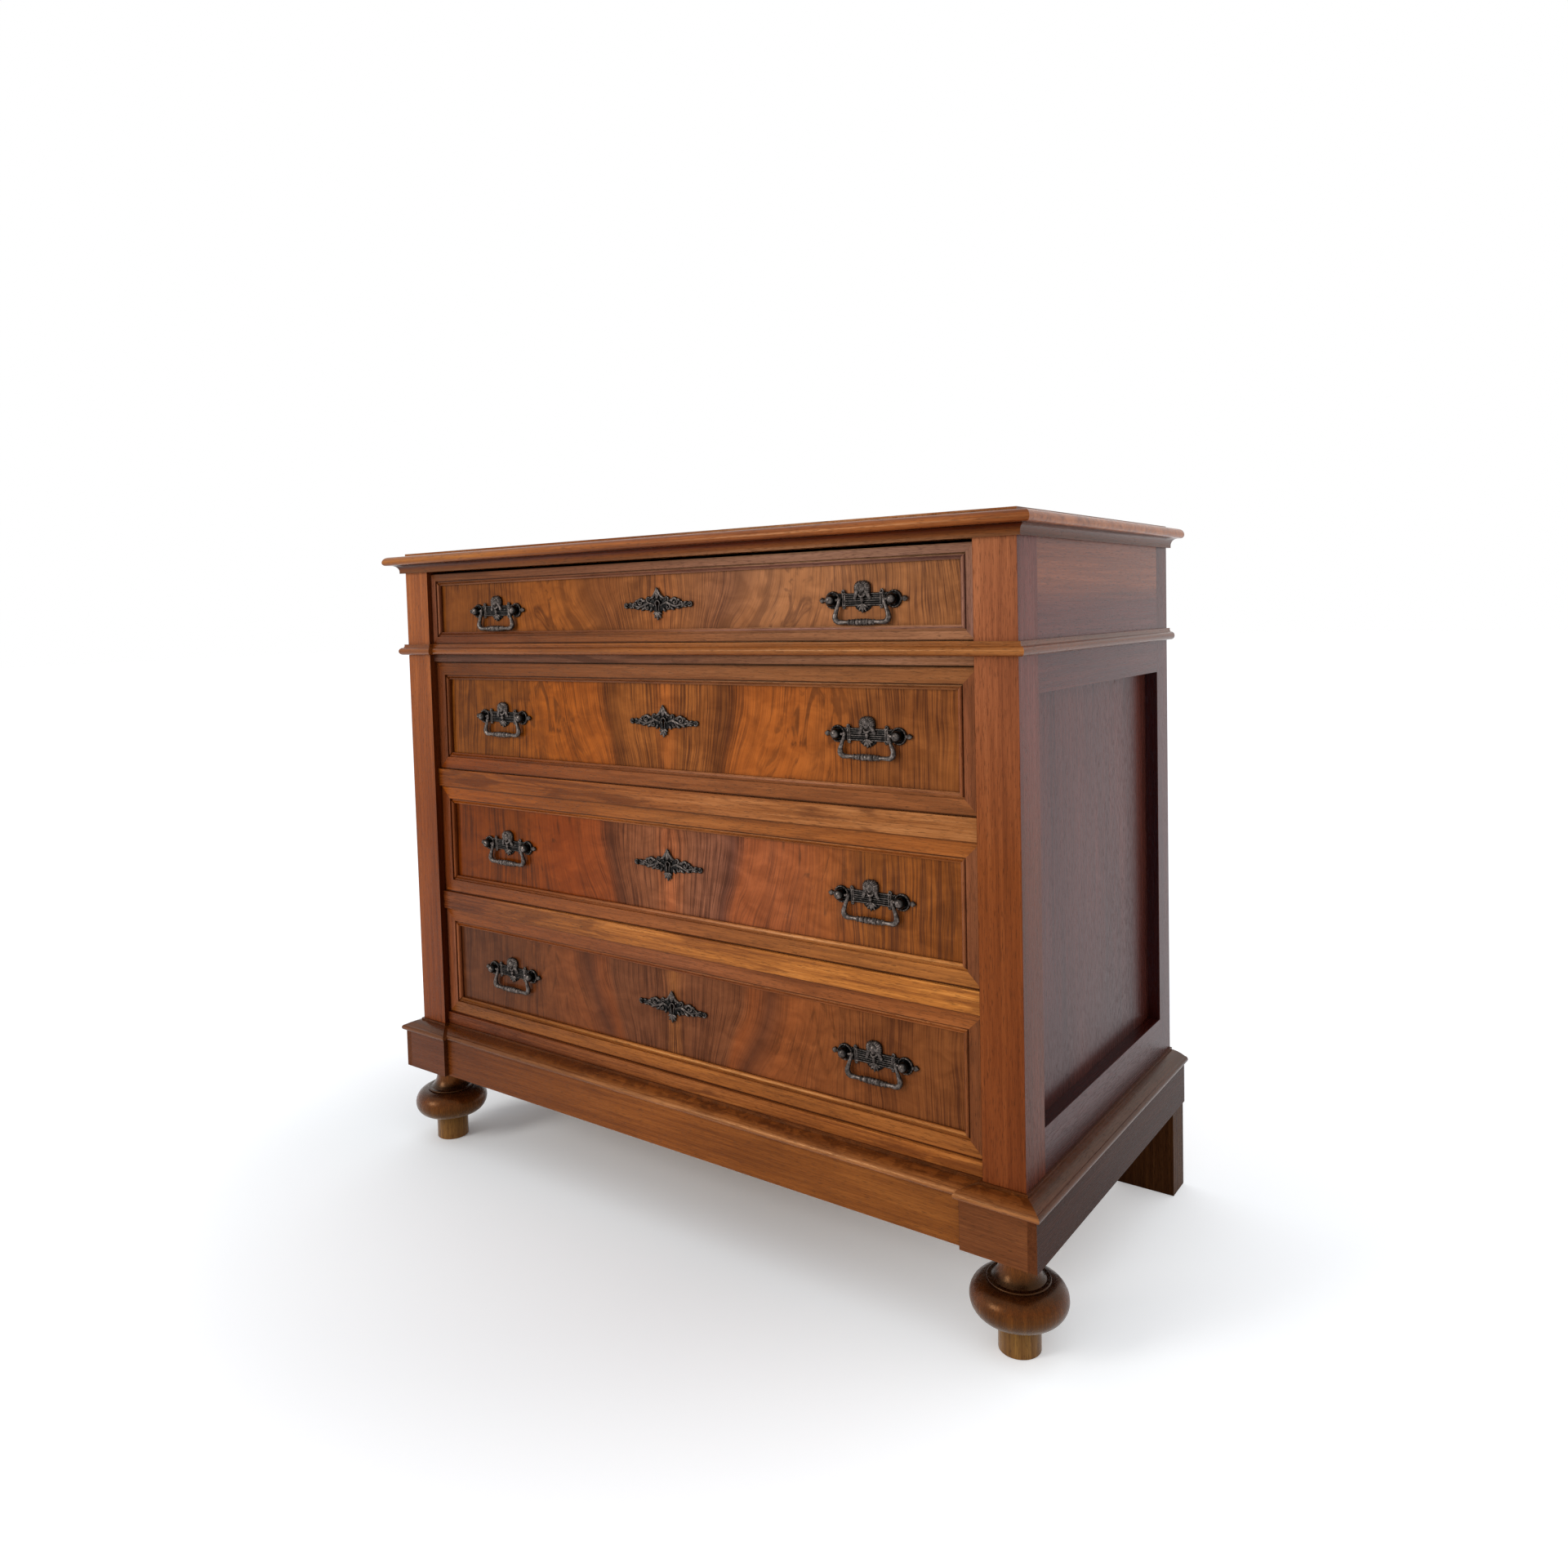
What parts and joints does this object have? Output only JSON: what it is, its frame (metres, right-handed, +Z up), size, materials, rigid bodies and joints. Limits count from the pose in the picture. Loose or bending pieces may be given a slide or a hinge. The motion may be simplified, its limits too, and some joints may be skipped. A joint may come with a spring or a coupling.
{
  "type": "chest of drawers",
  "caption": "Walnut chest of long drawers with flat corner pilasters, moulded top and waist, plinth, turned front feet, and swinging bail handles.",
  "frame": {"origin": "on the floor, at the middle of the overall width and depth", "axes": "+Z up, the drawers face -Y, the width runs along X"},
  "size_m": [1.2106, 0.5812, 1.034],
  "materials": {
    "walnut": "satin",
    "figured_veneer": "satin",
    "foot_walnut": "satin",
    "inner_wood": "matte",
    "handle_metal": "dark patina",
    "lock_iron": "matte",
    "bolt_brass": "satin"
  },
  "bodies": {
    "carcass": {"top_board": "walnut", "cornice_moulding": "walnut", "front_posts": "walnut", "rear_posts": "walnut", "side_upper_boards": "walnut", "side_frame_rails": "walnut", "side_panels": "walnut", "waist_moulding": "walnut", "top_rail": "walnut", "waist_rail": "walnut", "drawer_rails": "walnut", "lower_rail": "walnut", "drawer_runners": "inner_wood", "back_panel": "inner_wood", "plinth_front": "walnut", "plinth_blocks": "walnut", "plinth_sides": "walnut", "plinth_moulding": "walnut", "front_feet": "foot_walnut", "rear_feet": "foot_walnut"},
    "top_drawer": {"top_drawer_front": "figured_veneer", "top_drawer_frame": "walnut", "top_drawer_box": "inner_wood", "top_drawer_bottom": "inner_wood", "top_drawer_handle_plates": "handle_metal", "top_drawer_escutcheon": "handle_metal", "top_drawer_lock_case": "lock_iron"},
    "top_drawer_left_bail": {"top_drawer_left_bail": "handle_metal"},
    "top_drawer_right_bail": {"top_drawer_right_bail": "handle_metal"},
    "top_drawer_lock_bolt": {"top_drawer_lock_bolt": "bolt_brass"},
    "second_drawer": {"second_drawer_front": "figured_veneer", "second_drawer_frame": "walnut", "second_drawer_box": "inner_wood", "second_drawer_bottom": "inner_wood", "second_drawer_handle_plates": "handle_metal", "second_drawer_escutcheon": "handle_metal", "second_drawer_lock_case": "lock_iron"},
    "second_drawer_left_bail": {"second_drawer_left_bail": "handle_metal"},
    "second_drawer_right_bail": {"second_drawer_right_bail": "handle_metal"},
    "second_drawer_lock_bolt": {"second_drawer_lock_bolt": "bolt_brass"},
    "third_drawer": {"third_drawer_front": "figured_veneer", "third_drawer_frame": "walnut", "third_drawer_box": "inner_wood", "third_drawer_bottom": "inner_wood", "third_drawer_handle_plates": "handle_metal", "third_drawer_escutcheon": "handle_metal", "third_drawer_lock_case": "lock_iron"},
    "third_drawer_left_bail": {"third_drawer_left_bail": "handle_metal"},
    "third_drawer_right_bail": {"third_drawer_right_bail": "handle_metal"},
    "third_drawer_lock_bolt": {"third_drawer_lock_bolt": "bolt_brass"},
    "bottom_drawer": {"bottom_drawer_front": "figured_veneer", "bottom_drawer_frame": "walnut", "bottom_drawer_box": "inner_wood", "bottom_drawer_bottom": "inner_wood", "bottom_drawer_handle_plates": "handle_metal", "bottom_drawer_escutcheon": "handle_metal", "bottom_drawer_lock_case": "lock_iron"},
    "bottom_drawer_left_bail": {"bottom_drawer_left_bail": "handle_metal"},
    "bottom_drawer_right_bail": {"bottom_drawer_right_bail": "handle_metal"},
    "bottom_drawer_lock_bolt": {"bottom_drawer_lock_bolt": "bolt_brass"}
  },
  "joints": [
    {"name": "top_drawer_slide", "type": "slide", "parent": "carcass", "child": "top_drawer", "axis": [0, -1, 0], "range_m": [0, 0.38]},
    {"name": "top_drawer_left_bail_swing", "type": "hinge", "parent": "top_drawer", "child": "top_drawer_left_bail", "pos_m": [-0.351, -0.25275, 0.9315], "axis": [-1, 0, 0], "range_deg": [0, 105]},
    {"name": "top_drawer_right_bail_swing", "type": "hinge", "parent": "top_drawer", "child": "top_drawer_right_bail", "pos_m": [0.351, -0.25275, 0.9315], "axis": [-1, 0, 0], "range_deg": [0, 105]},
    {"name": "top_drawer_lock_bolt_slide", "type": "slide", "parent": "top_drawer", "child": "top_drawer_lock_bolt", "axis": [0, 0, 1], "range_m": [0, 0.009]},
    {"name": "second_drawer_slide", "type": "slide", "parent": "carcass", "child": "second_drawer", "axis": [0, -1, 0], "range_m": [0, 0.38]},
    {"name": "second_drawer_left_bail_swing", "type": "hinge", "parent": "second_drawer", "child": "second_drawer_left_bail", "pos_m": [-0.351, -0.24775, 0.75625], "axis": [-1, 0, 0], "range_deg": [0, 105]},
    {"name": "second_drawer_right_bail_swing", "type": "hinge", "parent": "second_drawer", "child": "second_drawer_right_bail", "pos_m": [0.351, -0.24775, 0.75625], "axis": [-1, 0, 0], "range_deg": [0, 105]},
    {"name": "second_drawer_lock_bolt_slide", "type": "slide", "parent": "second_drawer", "child": "second_drawer_lock_bolt", "axis": [0, 0, 1], "range_m": [0, 0.009]},
    {"name": "third_drawer_slide", "type": "slide", "parent": "carcass", "child": "third_drawer", "axis": [0, -1, 0], "range_m": [0, 0.38]},
    {"name": "third_drawer_left_bail_swing", "type": "hinge", "parent": "third_drawer", "child": "third_drawer_left_bail", "pos_m": [-0.351, -0.24775, 0.54225], "axis": [-1, 0, 0], "range_deg": [0, 105]},
    {"name": "third_drawer_right_bail_swing", "type": "hinge", "parent": "third_drawer", "child": "third_drawer_right_bail", "pos_m": [0.351, -0.24775, 0.54225], "axis": [-1, 0, 0], "range_deg": [0, 105]},
    {"name": "third_drawer_lock_bolt_slide", "type": "slide", "parent": "third_drawer", "child": "third_drawer_lock_bolt", "axis": [0, 0, 1], "range_m": [0, 0.009]},
    {"name": "bottom_drawer_slide", "type": "slide", "parent": "carcass", "child": "bottom_drawer", "axis": [0, -1, 0], "range_m": [0, 0.38]},
    {"name": "bottom_drawer_left_bail_swing", "type": "hinge", "parent": "bottom_drawer", "child": "bottom_drawer_left_bail", "pos_m": [-0.351, -0.24775, 0.32825], "axis": [-1, 0, 0], "range_deg": [0, 105]},
    {"name": "bottom_drawer_right_bail_swing", "type": "hinge", "parent": "bottom_drawer", "child": "bottom_drawer_right_bail", "pos_m": [0.351, -0.24775, 0.32825], "axis": [-1, 0, 0], "range_deg": [0, 105]},
    {"name": "bottom_drawer_lock_bolt_slide", "type": "slide", "parent": "bottom_drawer", "child": "bottom_drawer_lock_bolt", "axis": [0, 0, 1], "range_m": [0, 0.009]}
  ]
}
